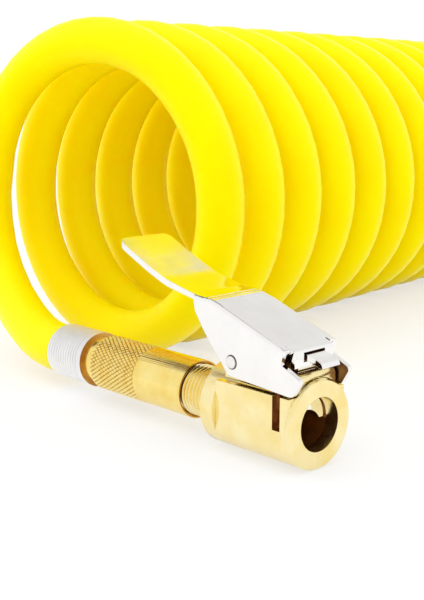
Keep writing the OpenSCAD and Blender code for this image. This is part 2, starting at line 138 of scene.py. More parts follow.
coil_end = coil_point(coil_to)
coil_steps = round((coil_from - coil_to) / coil_step)
hose_route = [ferrule_mouth + inside_ferrule, ferrule_mouth]
hose_route += [Vector(p) * MM for p in chuck_tail_route]
hose_route += [coil_point(coil_from + (coil_to - coil_from) * i / coil_steps) for i in range(coil_steps + 1)]
hose_route += [coil_end - coil_side * run * MM + Vector((0, 0, rise * MM)) for run, rise in inlet_tail_route]

hose_curve = bpy.data.curves.new("hose", "CURVE")
hose_curve.dimensions = "3D"
hose_curve.bevel_depth = hose_d / 2
hose_curve.bevel_resolution = 10
hose_curve.use_fill_caps = True
spline = hose_curve.splines.new("POLY")
spline.points.add(len(hose_route) - 1)
for point, place in zip(spline.points, hose_route):
    point.co = (*place, 1)
spline.use_smooth = True
hose = bpy.data.objects.new("hose", hose_curve)
bpy.context.scene.collection.objects.link(hose)

polyurethane = bpy.data.materials.new("polyurethane")
polyurethane.use_nodes = True
nodes, links = polyurethane.node_tree.nodes, polyurethane.node_tree.links
skin = nodes["Principled BSDF"]
skin.inputs["IOR"].default_value = 1.5
skin.inputs["Specular IOR Level"].default_value = 0.3
skin.inputs["Specular Tint"].default_value = (1, 0.8, 0.1, 1)
skin.inputs["Subsurface Weight"].default_value = 1
skin.inputs["Subsurface Radius"].default_value = (1, 0.6, 0.02)
skin.inputs["Subsurface Scale"].default_value = 0.008
where = nodes.new("ShaderNodeTexCoord")
cloud = nodes.new("ShaderNodeTexNoise")
cloud.inputs["Scale"].default_value = 55
cloud.inputs["Detail"].default_value = 3
shades = nodes.new("ShaderNodeValToRGB")
shades.color_ramp.elements[0].position = 0.3
shades.color_ramp.elements[0].color = (1, 0.77, 0, 1)
shades.color_ramp.elements[1].position = 0.7
shades.color_ramp.elements[1].color = (1, 0.82, 0, 1)
gloss = nodes.new("ShaderNodeMapRange")
gloss.inputs["To Min"].default_value = 0.3
gloss.inputs["To Max"].default_value = 0.42
ripple = nodes.new("ShaderNodeTexNoise")
ripple.inputs["Scale"].default_value = 420
ripple.inputs["Detail"].default_value = 2
ripple_bump = nodes.new("ShaderNodeBump")
ripple_bump.inputs["Strength"].default_value = 0.3
ripple_bump.inputs["Distance"].default_value = 0.00003
links.new(where.outputs["Object"], cloud.inputs["Vector"])
links.new(where.outputs["Object"], ripple.inputs["Vector"])
links.new(cloud.outputs["Fac"], shades.inputs["Fac"])
links.new(cloud.outputs["Fac"], gloss.inputs["Value"])
links.new(shades.outputs["Color"], skin.inputs["Base Color"])
links.new(gloss.outputs["Result"], skin.inputs["Roughness"])
links.new(ripple.outputs["Fac"], ripple_bump.inputs["Height"])
links.new(ripple_bump.outputs["Normal"], skin.inputs["Normal"])
hose_curve.materials.append(polyurethane)
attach(hose, "hose")
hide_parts("hose_coil", "chuck_hose_tail", "inlet_hose_tail")

# ---------------------------------------------------------------- ferrules
# Thin aluminium sleeves over the hose's ends, pushed on with their end wall against the
# stem's collar and crimped in a row of fine rings, which bite on the barbs inside.
joints = {j["name"]: j for j in frame["joints"]}


def coupling_place(nut):
    """Where a coupling goes that is drawn with its nut's mouth at 0 and X out of it."""
    joint = joints[nut + "_turn"]
    on_axis, axis = Vector(joint["pos_m"]), Vector(joint["axis"])
    reach = max((v.co - on_axis).dot(axis) for v in frame["nodes"][nut].data.vertices)
    return Matrix.Translation(on_axis + axis * reach) @ Matrix.Rotation(math.atan2(axis.y, axis.x), 4, "Z")


def turned(outline, corner, ends_on_axis=False, steps=128):
    """An outline of (x, radius) in mm with its corners rounded, turned about the X axis."""
    bm = bmesh.new()
    verts = [bm.verts.new((x * MM, 0, r * MM)) for x, r in outline]
    for a, b in zip(verts, verts[1:]):
        bm.edges.new((a, b))
    if not ends_on_axis:
        bm.edges.new((verts[-1], verts[0]))
    if corner:
        bmesh.ops.bevel(bm, geom=verts[1:-1] if ends_on_axis else verts, offset=corner * MM, segments=3,
                        profile=0.5, affect="VERTICES", material=-1, clamp_overlap=True)
    bmesh.ops.spin(bm, geom=bm.verts[:] + bm.edges[:], cent=(0, 0, 0), axis=(1, 0, 0), dvec=(0, 0, 0),
                   angle=2 * math.pi, steps=steps, use_merge=True)
    bmesh.ops.remove_doubles(bm, verts=bm.verts, dist=1e-7)
    bmesh.ops.recalc_face_normals(bm, faces=bm.faces)
    return bm


def add_piece(name, bm, material, body, slot, *nodes, crease=35):
    """Make a piece that rides on body and stands for the nodes; body is None where two bodies share it."""
    mesh = bpy.data.meshes.new(name)
    bm.to_mesh(mesh)
    bm.free()
    mesh.shade_smooth()
    mesh.set_sharp_from_angle(angle=math.radians(crease))
    mesh.materials.append(material)
    obj = bpy.data.objects.new(name, mesh)
    bpy.context.scene.collection.objects.link(obj)
    if body:
        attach(obj, body)
    if nodes:
        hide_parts(*nodes)
    return obj


def group_socket(group, name, kind, direction, default=None):
    socket = group.interface.new_socket(name, in_out=direction, socket_type=kind)
    if default is not None:
        socket.default_value = default


# Rings left by a lathe's tool round the X axis, as a height and as a mask of duller bands.
lathe = bpy.data.node_groups.new("lathe_lines", "ShaderNodeTree")
group_socket(lathe, "Vector", "NodeSocketVector", "INPUT")
group_socket(lathe, "Lines per mm", "NodeSocketFloat", "INPUT", 6.0)
group_socket(lathe, "Height", "NodeSocketFloat", "OUTPUT")
group_socket(lathe, "Dull", "NodeSocketFloat", "OUTPUT")
group_socket(lathe, "Radius", "NodeSocketFloat", "OUTPUT")
nodes, links = lathe.nodes, lathe.links
given, made = nodes.new("NodeGroupInput"), nodes.new("NodeGroupOutput")
split = nodes.new("ShaderNodeSeparateXYZ")
square_y, square_z, far_2, far = (nodes.new("ShaderNodeMath") for _ in range(4))
square_y.operation = square_z.operation = "MULTIPLY"
far_2.operation, far.operation = "ADD", "SQRT"
flat = nodes.new("ShaderNodeCombineXYZ")
per_m = nodes.new("ShaderNodeMath")
per_m.operation = "MULTIPLY"
per_m.inputs[1].default_value = 1000
lines = nodes.new("ShaderNodeTexNoise")
lines.noise_dimensions = "2D"
lines.inputs["Detail"].default_value = 3
bands = nodes.new("ShaderNodeTexNoise")
bands.noise_dimensions = "2D"
bands.inputs["Scale"].default_value = 600
links.new(given.outputs["Vector"], split.inputs["Vector"])
for axis, square in (("Y", square_y), ("Z", square_z)):
    links.new(split.outputs[axis], square.inputs[0])
    links.new(split.outputs[axis], square.inputs[1])
links.new(square_y.outputs[0], far_2.inputs[0])
links.new(square_z.outputs[0], far_2.inputs[1])
links.new(far_2.outputs[0], far.inputs[0])
links.new(split.outputs["X"], flat.inputs["X"])
links.new(far.outputs[0], flat.inputs["Y"])
links.new(given.outputs["Lines per mm"], per_m.inputs[0])
links.new(per_m.outputs[0], lines.inputs["Scale"])
links.new(flat.outputs["Vector"], lines.inputs["Vector"])
links.new(flat.outputs["Vector"], bands.inputs["Vector"])
links.new(lines.outputs["Fac"], made.inputs["Height"])
links.new(bands.outputs["Fac"], made.inputs["Dull"])
links.new(far.outputs[0], made.inputs["Radius"])

# Faint uneven film that fingers and cleaning leave on bare metal, as a mask.
film = bpy.data.node_groups.new("film", "ShaderNodeTree")
group_socket(film, "Vector", "NodeSocketVector", "INPUT")
group_socket(film, "Patch per m", "NodeSocketFloat", "INPUT", 150.0)
group_socket(film, "Mask", "NodeSocketFloat", "OUTPUT")
nodes, links = film.nodes, film.links
given, made = nodes.new("NodeGroupInput"), nodes.new("NodeGroupOutput")
patches = nodes.new("ShaderNodeTexNoise")
patches.inputs["Detail"].default_value = 5
patches.inputs["Roughness"].default_value = 0.6
contrast = nodes.new("ShaderNodeMapRange")
contrast.inputs["From Min"].default_value = 0.35
contrast.inputs["From Max"].default_value = 0.65
links.new(given.outputs["Vector"], patches.inputs["Vector"])
links.new(given.outputs["Patch per m"], patches.inputs["Scale"])
links.new(patches.outputs["Fac"], contrast.inputs["Value"])
links.new(contrast.outputs["Result"], made.inputs["Mask"])


def metal(name, clean, dull, rough, line_depth_mm, lines_per_mm, place=Matrix(), painted_shade=None):
    """Bare metal with lathe lines round the X axis of place; clean and dull are its two shades.

    painted_shade is the radius at which the painted shade is full, the one at which the metal's own colour is
    back, and the shade's colour."""
    material = bpy.data.materials.new(name)
    material.use_nodes = True
    nodes, links = material.node_tree.nodes, material.node_tree.links
    surface = nodes["Principled BSDF"]
    surface.inputs["Metallic"].default_value = 1
    where = nodes.new("ShaderNodeTexCoord")
    local = nodes.new("ShaderNodeMapping")
    local.vector_type = "TEXTURE"
    local.inputs["Location"].default_value = place.translation
    local.inputs["Rotation"].default_value = place.to_euler()
    marks, dirt = nodes.new("ShaderNodeGroup"), nodes.new("ShaderNodeGroup")
    marks.node_tree, dirt.node_tree = lathe, film
    marks.inputs["Lines per mm"].default_value = lines_per_mm
    shade = nodes.new("ShaderNodeMix")
    shade.data_type = "RGBA"
    shade.inputs["A"].default_value = (*clean, 1)
    shade.inputs["B"].default_value = (*dull, 1)
    blend = nodes.new("ShaderNodeMath")
    blend.operation = "MULTIPLY_ADD"
    blend.inputs[1].default_value = 0.5
    spread = nodes.new("ShaderNodeMapRange")
    spread.inputs["To Min"].default_value = rough[0]
    spread.inputs["To Max"].default_value = rough[1]
    bump = nodes.new("ShaderNodeBump")
    bump.inputs["Distance"].default_value = line_depth_mm * MM
    links.new(where.outputs["Object"], local.inputs["Vector"])
    links.new(local.outputs["Vector"], marks.inputs["Vector"])
    links.new(local.outputs["Vector"], dirt.inputs["Vector"])
    links.new(dirt.outputs["Mask"], shade.inputs["Factor"])
    links.new(shade.outputs["Result"], surface.inputs["Base Color"])
    # Painted shade: the colour is darkened by radius, in grooves and at rims, where shade falls.
    if painted_shade:
        depth = nodes.new("ShaderNodeMapRange")
        depth.inputs["From Min"].default_value = painted_shade[0] * MM
        depth.inputs["From Max"].default_value = painted_shade[1] * MM
        shaded_colour = nodes.new("ShaderNodeMix")
        shaded_colour.data_type = "RGBA"
        shaded_colour.inputs["A"].default_value = (*painted_shade[2], 1)
        links.new(marks.outputs["Radius"], depth.inputs["Value"])
        links.new(depth.outputs["Result"], shaded_colour.inputs["Factor"])
        links.new(shade.outputs["Result"], shaded_colour.inputs["B"])
        links.new(shaded_colour.outputs["Result"], surface.inputs["Base Color"])
    links.new(dirt.outputs["Mask"], blend.inputs[0])
    links.new(marks.outputs["Dull"], blend.inputs[2])
    links.new(blend.outputs[0], spread.inputs["Value"])
    links.new(spread.outputs["Result"], surface.inputs["Roughness"])
    links.new(marks.outputs["Height"], bump.inputs["Height"])
    links.new(bump.outputs["Normal"], surface.inputs["Normal"])
    return material


ferrule_r = 5.7
ferrule_bore_r = 5.22
ferrule_hole_r = 3.15
ferrule_front = -30.3
ferrule_end_wall = -31.0
ferrule_rim = -31.5
ferrule_back = -42.0
crimp_rings = 12
crimp_pitch = 0.84
crimp_depth = 0.27
# Painted shade: the crimp grooves are coloured darker grey where shade falls in them.
crimp_groove_painted_shade = (ferrule_r - crimp_depth, ferrule_r - 0.12, (0.6, 0.59, 0.58))
satin_finish = [(0.95, 0.945, 0.945), (0.88, 0.88, 0.88), (0.5, 0.62), 0.006, 5]
# Painted shadow: the ferrule's front face is coloured orange-brown for the stem collar's shadow on it.
painted_collar_shadow_finish = [(0.75, 0.45, 0.12), (0.5, 0.24, 0.06), (0.3, 0.45), 0.006, 5]
ferrule_outline = [(ferrule_front, ferrule_hole_r), (ferrule_front, ferrule_r), (ferrule_rim, ferrule_r)]
for ring in range(crimp_rings):
    groove = ferrule_rim - crimp_pitch * (ring + 0.6)
    ferrule_outline += [(groove + 0.26, ferrule_r - 0.02), (groove, ferrule_r - crimp_depth),
                        (groove - 0.2, ferrule_r - 0.03)]
ferrule_outline += [(ferrule_back, ferrule_r - 0.15), (ferrule_back, ferrule_bore_r),
                    (ferrule_end_wall, ferrule_bore_r), (ferrule_end_wall, ferrule_hole_r)]
couplings = {end: coupling_place(end + "_nut") for end in ("chuck", "inlet")}
for end, place in couplings.items():
    satin = metal(end + "_aluminium", *satin_finish, place, crimp_groove_painted_shade)
    shadowed_front_face = metal(end + "_aluminium_painted_collar_shadow", *painted_collar_shadow_finish, place)
    bm = turned(ferrule_outline, corner=0.08)
    # Faces looking forward at the ferrule's front get the painted collar shadow.
    for face in bm.faces:
        face.material_index = int(face.normal.x > 0.9 and face.calc_center_median().x > ferrule_rim * MM)
    bmesh.ops.transform(bm, matrix=place, verts=bm.verts)
    ferrule = add_piece(end + "_crimped_ferrule", bm, satin, "hose", "aluminium", end + "_ferrule")
    ferrule.data.materials.append(shadowed_front_face)

# ------------------------------------------------------------- nuts, stems
# Long brass nuts turn on brass stems. Each nut is turned from bar with its rear half rolled
# in a diamond knurl; each stem has a head and washer inside the nut and a collar behind it.
nut_finish = [(0.96, 0.79, 0.3), (0.92, 0.67, 0.17), (0.13, 0.26), 0.004, 7]
# Painted shade: the knurl's grooves are coloured deeper orange-brown where shade falls in them.
knurl_groove_painted_shade = (0.6, 0.3, 0.05)
nut_r = 5.6
nut_plain_r = nut_r - 0.05
nut_rim_r = nut_r - 0.4
nut_len = 27.7
nut_neck_r = 3.55
nut_neck = -11.5
nut_washer_r = 5.115
nut_washer = -7.0
nut_thread_r = 4.915
nut_lead_in = -0.8
knurl_front = -13.2
knurl_back = -27.2
knurl_teeth = 40
knurl_slope = math.tan(math.radians(32))
knurl_depth = 0.26
knurl_flat = 0.42
knurl_fade_front = 0.5
knurl_fade_back = 0.3
knurl_steps = 84
knurl_round = 360
stem_bore_r = 2.0
stem_head_r = 4.285
stem_shank_r = 3.5
stem_collar_r = 4.85
stem_tail_r = 3.1
stem_outline = [(-8.4, stem_bore_r), (-8.4, stem_head_r), (-11.2, stem_head_r), (-11.2, stem_shank_r),
                (-28.0, stem_shank_r), (-28.0, stem_collar_r), (-30.3, stem_collar_r), (-30.3, stem_tail_r),
                (-31.6, stem_tail_r), (-41.0, stem_tail_r), (-41.0, stem_bore_r)]
nut_outline = [(-nut_len, nut_neck_r), (nut_neck, nut_neck_r), (nut_neck, nut_washer_r),
               (nut_washer, nut_washer_r), (nut_washer, nut_thread_r), (nut_lead_in, nut_thread_r),
               (nut_lead_in, nut_rim_r), (0, nut_rim_r), (0, nut_plain_r), (knurl_front, nut_plain_r)]
nut_outline += [(knurl_front + (knurl_back - knurl_front) * (i + 0.5) / knurl_steps, nut_r)
                for i in range(knurl_steps)]
nut_outline += [(-nut_len, nut_r - 0.6)]


def ridge(turns):
    """Height of a row of V-shaped ridges, from 0 in the groove to 1 at the crest."""
    return 1 - abs(2 * (turns % 1) - 1)


def knurl(bm):
    """Press a diamond knurl into a turned nut: two rows of ridges that cross, with flat crests."""
    for v in bm.verts:
        x, r = v.co.x / MM, math.hypot(v.co.y, v.co.z) / MM
        if knurl_back < x < knurl_front and r > nut_r - 0.03:
            around = knurl_teeth * math.atan2(v.co.z, v.co.y) / (2 * math.pi)
            lengthwise = knurl_teeth * x * knurl_slope / (2 * math.pi * nut_r)
            height = min(ridge(around + lengthwise), ridge(around - lengthwise), knurl_flat) / knurl_flat
            near_end = min(1, (knurl_front - x) / knurl_fade_front, (x - knurl_back) / knurl_fade_back)
            v.co.yz *= 1 - knurl_depth * (1 - height) * near_end / r


for end, place in couplings.items():
    brass = metal(end + "_turned_brass", *nut_finish, place,
                  (nut_r - knurl_depth, nut_r - 0.08, knurl_groove_painted_shade))
    stem_brass = metal(end + "_stem_brass", *nut_finish, place)
    bm = turned(stem_outline, corner=0.15, steps=96)
    bmesh.ops.transform(bm, matrix=place, verts=bm.verts)
    add_piece(end + "_barbed_stem", bm, stem_brass, "hose", "brass", end + "_stem")
    bm = turned(nut_outline, corner=0, steps=knurl_round)
    knurl(bm)
    bmesh.ops.transform(bm, matrix=place, verts=bm.verts)
    add_piece(end + "_knurled_nut", bm, brass, end + "_nut", "brass", end + "_nut", crease=28)

rubber = bpy.data.materials.new("black_rubber")
rubber.use_nodes = True
nodes, links = rubber.node_tree.nodes, rubber.node_tree.links
skin = nodes["Principled BSDF"]
where = nodes.new("ShaderNodeTexCoord")
bloom = nodes.new("ShaderNodeTexNoise")
bloom.inputs["Scale"].default_value = 700
greys = nodes.new("ShaderNodeValToRGB")
greys.color_ramp.elements[0].color = (0.05, 0.022, 0.009, 1)
greys.color_ramp.elements[1].color = (0.12, 0.055, 0.022, 1)
skin.inputs["Roughness"].default_value = 0.55
links.new(where.outputs["Object"], bloom.inputs["Vector"])
links.new(bloom.outputs["Fac"], greys.inputs["Fac"])
links.new(greys.outputs["Color"], skin.inputs["Base Color"])
for node in ("chuck_washer", "inlet_washer", "valve_seal", "pin_seal"):
    frame["nodes"][node].data.materials.clear()
    frame["nodes"][node].data.materials.append(rubber)

# -------------------------------------------------------------- chuck body
# One piece of bar brass: turned at the mouth, the rear collar and the pipe thread, milled
# flat on both sides and across the top, with a sawn slot for the jaw.
brass_clean = (0.97, 0.85, 0.48)
brass_dull = (0.94, 0.75, 0.3)
body_brass = metal("body_brass", brass_clean, brass_dull, (0.12, 0.24), 0.004, 6)


def cad_copy(node):
    """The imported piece's mesh with its loose triangles merged into flat faces."""
    bm = bmesh.new()
    bm.from_mesh(frame["nodes"][node].data)
    bmesh.ops.remove_doubles(bm, verts=bm.verts, dist=1e-6)
    bmesh.ops.dissolve_limit(bm, angle_limit=math.radians(0.3), verts=bm.verts, edges=bm.edges)
    return bm


def break_edges(obj, width_mm):
    """The small rounding that deburring leaves on every sharp edge."""
    bevel = obj.modifiers.new("broken_edges", "BEVEL")
    bevel.width = width_mm * MM
    bevel.segments = 2
    bevel.limit_method = "ANGLE"
    bevel.angle_limit = math.radians(30)
    bevel.use_clamp_overlap = False
    bevel.harden_normals = True


same_place = 0.01  # mm within which two places count as the same
thread_start = -22.6
thread_pitch = 0.907
thread_crest = 4.85
thread_root = 4.27
thread_foot = thread_root - 0.1
thread_run_out = 0.5
thread_turns = 15
thread_steps = 72
neck_cut = -22.0
neck_r = 4.185
spigot_end = -36.5
spigot_end_r = 3.95
spigot_bore_r = 3.0
# Painted shade: the bore and the jaw's slot are coloured dark brown for the shade and dark reflections inside
# them.
bore_and_slot_painted_shade = [(0.55, 0.24, 0.05), (0.35, 0.13, 0.03), (0.3, 0.45), 0.006, 9]
slot_front = -2.975
slot_back = -4.225
slot_play = 0.2
mouth_r = 4.7
bore_r = 4.5
bore_back = -9.6
taper_end = -4.0
bm = cad_copy("chuck_body")
bmesh.ops.triangulate(bm, faces=[f for f in bm.faces if f.normal.x > 0.9
                                 and abs(f.calc_center_median().x / MM - slot_front) < same_place])
for v in bm.verts:
    x, r = v.co.x / MM, v.co.yz.length / MM
    if abs(x - slot_front) < same_place:
        v.co.x = (taper_end if abs(r - bore_r) < 0.05 else slot_front + slot_play) * MM
    elif abs(x - slot_back) < same_place:
        v.co.x -= slot_play * MM
bm.normal_update()
# Faces of the bore and of the slot take the painted shade.
for face in bm.faces:
    middle = face.calc_center_median() / MM
    in_slot = slot_back - slot_play - same_place < middle.x < slot_front + slot_play + same_place
    in_bore = bore_back < middle.x < slot_front and middle.yz.length < mouth_r + 0.05
    outside = abs(face.normal.y) > 0.9 and abs(middle.y) > mouth_r
    if in_bore or (in_slot and not outside):
        face.material_index = 1
bmesh.ops.bisect_plane(bm, geom=bm.verts[:] + bm.edges[:] + bm.faces[:], plane_co=(neck_cut * MM, 0, 0),
                       plane_no=(-1, 0, 0), clear_outer=True)
bmesh.ops.bridge_loops(bm, edges=[e for e in bm.edges if e.is_boundary])
chuck_body = add_piece("chuck_body_block", bm, body_brass, "hose", "brass", "chuck_body")
chuck_body.data.materials.append(metal("brass_with_painted_shade", *bore_and_slot_painted_shade))
break_edges(chuck_body, 0.1)

# The threaded spigot behind it: a turned core, and a thread wound on it that runs out at both ends.
core = [(neck_cut, spigot_bore_r), (spigot_end, spigot_bore_r), (spigot_end, spigot_end_r),
        (spigot_end + 0.4, thread_root - 0.02), (thread_start, thread_root - 0.02), (thread_start, neck_r),
        (neck_cut, neck_r)]
bm = turned(core, corner=0.05, steps=96)
bm_thread = bmesh.new()
flanks = [(0.36, thread_foot), (0.1, thread_crest), (-0.1, thread_crest), (-0.36, thread_foot)]
verts = [bm_thread.verts.new(((thread_start + x) * MM, 0, r * MM)) for x, r in flanks]
for pair in zip(verts, verts[1:] + verts[:1]):
    bm_thread.edges.new(pair)
bmesh.ops.bevel(bm_thread, geom=verts[1:3], offset=0.06 * MM, segments=2, profile=0.5, affect="VERTICES",
                material=-1)
bmesh.ops.spin(bm_thread, geom=bm_thread.verts[:] + bm_thread.edges[:], cent=(0, 0, 0), axis=(1, 0, 0),
               dvec=(-thread_pitch * MM / thread_steps, 0, 0), angle=2 * math.pi * thread_turns,
               steps=thread_steps * thread_turns, use_merge=False)
bmesh.ops.holes_fill(bm_thread, edges=[e for e in bm_thread.edges if e.is_boundary])
thread_long = thread_pitch * thread_turns
for v in bm_thread.verts:
    run = (thread_start * MM - v.co.x) / MM
    share = max(0.0, min(1, run / thread_run_out, (thread_long - run) / thread_run_out))
    r = math.hypot(v.co.y, v.co.z) / MM
    v.co.yz *= (thread_foot + (r - thread_foot) * share) / r
bmesh.ops.recalc_face_normals(bm_thread, faces=bm_thread.faces)
thread_mesh = bpy.data.meshes.new("thread")
bm_thread.to_mesh(thread_mesh)
bm_thread.free()
bm.from_mesh(thread_mesh)
bpy.data.meshes.remove(thread_mesh)
add_piece("threaded_spigot", bm, body_brass, "hose", "brass")

# ---------------------------------------------------------- valve in the chuck
# A brass pin with a rubber ring on it, pushed forward by a small spring against the seat.
# The hollow screw behind holds the spring; air passes through its middle.
pin_brass = metal("pin_brass", brass_clean, brass_dull, (0.12, 0.22), 0.003, 8)
spring_wire = metal("spring_wire", (0.66, 0.67, 0.69), (0.56, 0.57, 0.6), (0.2, 0.34), 0.002, 5)
for node in ("valve_pin", "spring_retainer"):
    frame["nodes"][node].data.materials.clear()
    frame["nodes"][node].data.materials.append(pin_brass)
coil_wire = 0.5
coil_turns = 6
coil_steps_per_turn = 24
coil_low, coil_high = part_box("pin_spring")
wire_r = coil_wire * MM / 2
coil_mean_r = coil_high.z - wire_r
coil_run = coil_high.x - coil_low.x - 2 * wire_r
bm = bmesh.new()
bmesh.ops.create_circle(bm, cap_ends=False, segments=10, radius=wire_r,
                        matrix=Matrix.Translation((coil_high.x - wire_r, 0, coil_mean_r))
                        @ Matrix.Rotation(math.pi / 2, 4, "X"))
all_steps = coil_turns * coil_steps_per_turn
bmesh.ops.spin(bm, geom=bm.verts[:] + bm.edges[:], cent=(0, 0, 0), axis=(1, 0, 0),
               dvec=(-coil_run / all_steps, 0, 0), angle=2 * math.pi * coil_turns, steps=all_steps,
               use_merge=False)
bmesh.ops.holes_fill(bm, edges=[e for e in bm.edges if e.is_boundary])
bmesh.ops.recalc_face_normals(bm, faces=bm.faces)
return_spring = add_piece("return_spring", bm, spring_wire, "hose", "spring_steel", "pin_spring")
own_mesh(return_spring)

# --------------------------------------------------------------------- jaw
# Nickel-plated steel plate that drops into the slot and bites on the valve's thread. Its
# stem is bent forward into a tang, which hooks into the lever's window.
nickel = bpy.data.materials.new("nickel_plate")
nickel.use_nodes = True
nodes, links = nickel.node_tree.nodes, nickel.node_tree.links
plate = nodes["Principled BSDF"]
plate.inputs["Metallic"].default_value = 1
where = nodes.new("ShaderNodeTexCoord")
dirt = nodes.new("ShaderNodeGroup")
dirt.node_tree = film
dirt.inputs["Patch per m"].default_value = 110
shade = nodes.new("ShaderNodeMix")
shade.data_type = "RGBA"
shade.inputs["A"].default_value = (0.94, 0.93, 0.915, 1)
shade.inputs["B"].default_value = (0.89, 0.87, 0.85, 1)
spread = nodes.new("ShaderNodeMapRange")
spread.inputs["To Min"].default_value = 0.05
spread.inputs["To Max"].default_value = 0.12
peel = nodes.new("ShaderNodeTexNoise")
peel.inputs["Scale"].default_value = 330
peel.inputs["Detail"].default_value = 2
peel_bump = nodes.new("ShaderNodeBump")
peel_bump.inputs["Strength"].default_value = 0.25
peel_bump.inputs["Distance"].default_value = 0.00002
along_lever = nodes.new("ShaderNodeSeparateXYZ")
thumb_wear = nodes.new("ShaderNodeMapRange")
thumb_wear.inputs["From Min"].default_value = -28 * MM
thumb_wear.inputs["From Max"].default_value = -33 * MM
thumb_wear.inputs["To Max"].default_value = 0.06
worn = nodes.new("ShaderNodeMath")
links.new(where.outputs["Object"], dirt.inputs["Vector"])
links.new(where.outputs["Object"], peel.inputs["Vector"])
links.new(where.outputs["Object"], along_lever.inputs["Vector"])
links.new(along_lever.outputs["X"], thumb_wear.inputs["Value"])
links.new(dirt.outputs["Mask"], shade.inputs["Factor"])
links.new(shade.outputs["Result"], plate.inputs["Base Color"])
links.new(dirt.outputs["Mask"], spread.inputs["Value"])
links.new(spread.outputs["Result"], worn.inputs[0])
links.new(thumb_wear.outputs["Result"], worn.inputs[1])
links.new(worn.outputs[0], plate.inputs["Roughness"])
links.new(peel.outputs["Fac"], peel_bump.inputs["Height"])
links.new(peel_bump.outputs["Normal"], plate.inputs["Normal"])
# Painted shade: the lever's inner faces are coloured dark brown for the shade and brass reflections inside
# it.
painted_shade_nickel = metal("nickel_with_painted_shade", (0.3, 0.17, 0.09), (0.16, 0.08, 0.04), (0.25, 0.4), 0.003, 4)
jaw_side = 6.3
jaw_side_filed = 5.2
bm = cad_copy("jaw")
for v in bm.verts:
    if abs(v.co.y) / MM > jaw_side - same_place:
        v.co.y = math.copysign(jaw_side_filed * MM, v.co.y)
jaw = add_piece("jaw_plate", bm, nickel, "jaw", "nickel", "jaw")
break_edges(jaw, 0.09)

# ------------------------------------------------------------------- lever
# Pressed from 1 mm steel sheet and bright nickel-plated: two cheeks folded down from the
# top, a front wall with the jaw's window, and a thumb tab that runs up and back.
cheek_side = 6.65
cheek_back = -23.9
fold_r = 0.7
fold_segments = 4
broken_share = 0.14
nose_cut = -3.3
tab_top_cad = [(-45.5, 28.16), (-38, 24.5), (-32.4, 21.6), (-30.6, 20.8), (-28.5, 20.41), (-24, 19.94),
               (-21.5, 19.75), (-19.5, 19.39), (-17.2, 18.571)]
tab_top = [(-45.5, 27.34), (-44, 26.59), (-42, 25.63), (-40, 24.7), (-38.5, 24.01), (-37.5, 23.57),
           (-36.5, 23.14), (-35.5, 22.73), (-34, 22.14), (-33, 21.76), (-32, 21.41), (-31, 21.12),
           (-29, 20.67), (-27, 20.24), (-25.5, 19.92), (-24.5, 19.72), (-23.5, 19.6), (-21.5, 19.5),
           (-20.5, 19.43), (-19.5, 19.27), (-18.6, 19.03), (-17.2, 18.571)]
tab_thicker = 0.15
tab_thickens_over = 4
below_top = 0.4
wall_side = 5.4
wall_side_trimmed = 4.8
inner_side = 5.7
fold_lowest = 12
bm = cad_copy("lever")
for cut in [nose_cut] + [x for x, _ in tab_top[1:]]:
    bmesh.ops.bisect_plane(bm, geom=bm.verts[:] + bm.edges[:] + bm.faces[:], plane_co=(cut * MM, 0, 0),
                           plane_no=(1, 0, 0), dist=same_place * MM)
for v in bm.verts:
    x, y, z = v.co / MM
    if x < tab_top[-1][0]:
        under = z < along(tab_top_cad, x) - below_top
        share = max(0, min(1, (cheek_back - x) / tab_thickens_over))
        v.co.z += (along(tab_top, x) - along(tab_top_cad, x) - under * share * tab_thicker) * MM
    if x > nose_cut and abs(abs(y) - wall_side) < same_place:
        v.co.y = math.copysign(wall_side_trimmed * MM, y)
bmesh.ops.recalc_face_normals(bm, faces=bm.faces)
weights = bm.edges.layers.float.new("bevel_weight_edge")
for edge in bm.edges:
    ends = [v.co / MM for v in edge.verts]
    on_side = all(abs(p.y) > cheek_side - same_place for p in ends)
    behind_nose = all(p.x < nose_cut + same_place for p in ends)
    top_z = max(f.normal.z for f in edge.link_faces)
    if on_side and behind_nose and top_z > 0.8 and min(p.z for p in ends) > fold_lowest:
        edge[weights] = 1
    elif edge.calc_face_angle() > math.radians(30):
        edge[weights] = broken_share
# Inner faces of the cheeks, roof and front wall take the painted shade.
for face in bm.faces:
    middle = face.calc_center_median() / MM
    cheek_inside = abs(face.normal.y) > 0.9 and abs(middle.y) < inner_side and face.normal.y * middle.y < 0
    roof_inside = face.normal.z < -0.5 and abs(middle.y) < inner_side
    front_inside = face.normal.x < -0.5
    if middle.x > cheek_back and (cheek_inside or roof_inside or front_inside):
        face.material_index = 1
lever = add_piece("thumb_lever", bm, nickel, "lever", "nickel", "lever")
lever.data.materials.append(painted_shade_nickel)
folds = lever.modifiers.new("folds_and_broken_edges", "BEVEL")
folds.width = fold_r * MM
folds.segments = fold_segments
folds.limit_method = "WEIGHT"
folds.use_clamp_overlap = False
flats = lever.modifiers.new("flat_faces_stay_flat", "WEIGHTED_NORMAL")
flats.keep_sharp = True

# ------------------------------------------------------- lever's pin, spring
# Riveted steel pin with domed ends, and the torsion spring of round wire that is wound on
# it. One leg of the spring lies on the body, and the other lifts the lever.
hinge = Vector(joints["lever_hinge"]["pos_m"])
pin_low, pin_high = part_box("lever_pin")
pin_half = (pin_high.y - pin_low.y) / 2 / MM
pin_dome = [(-0.15, 0), (-0.1, 0.45), (0.02, 0.85), (0.2, 1.12), (0.36, 1.2)]
pin_outline = [(x - pin_half, r) for x, r in pin_dome]
pin_outline += [(-x, r) for x, r in reversed(pin_outline)]
bm = turned(pin_outline, corner=0.06, ends_on_axis=True, steps=64)
pin_place = Matrix.Translation(hinge) @ Matrix.Rotation(math.pi / 2, 4, "Z")
bmesh.ops.transform(bm, matrix=pin_place, verts=bm.verts)
pin_rim_painted_shade = (1.19, 1.0, (0.12, 0.07, 0.04))  # painted shade: dark at the rim of its heads, its own colour inside
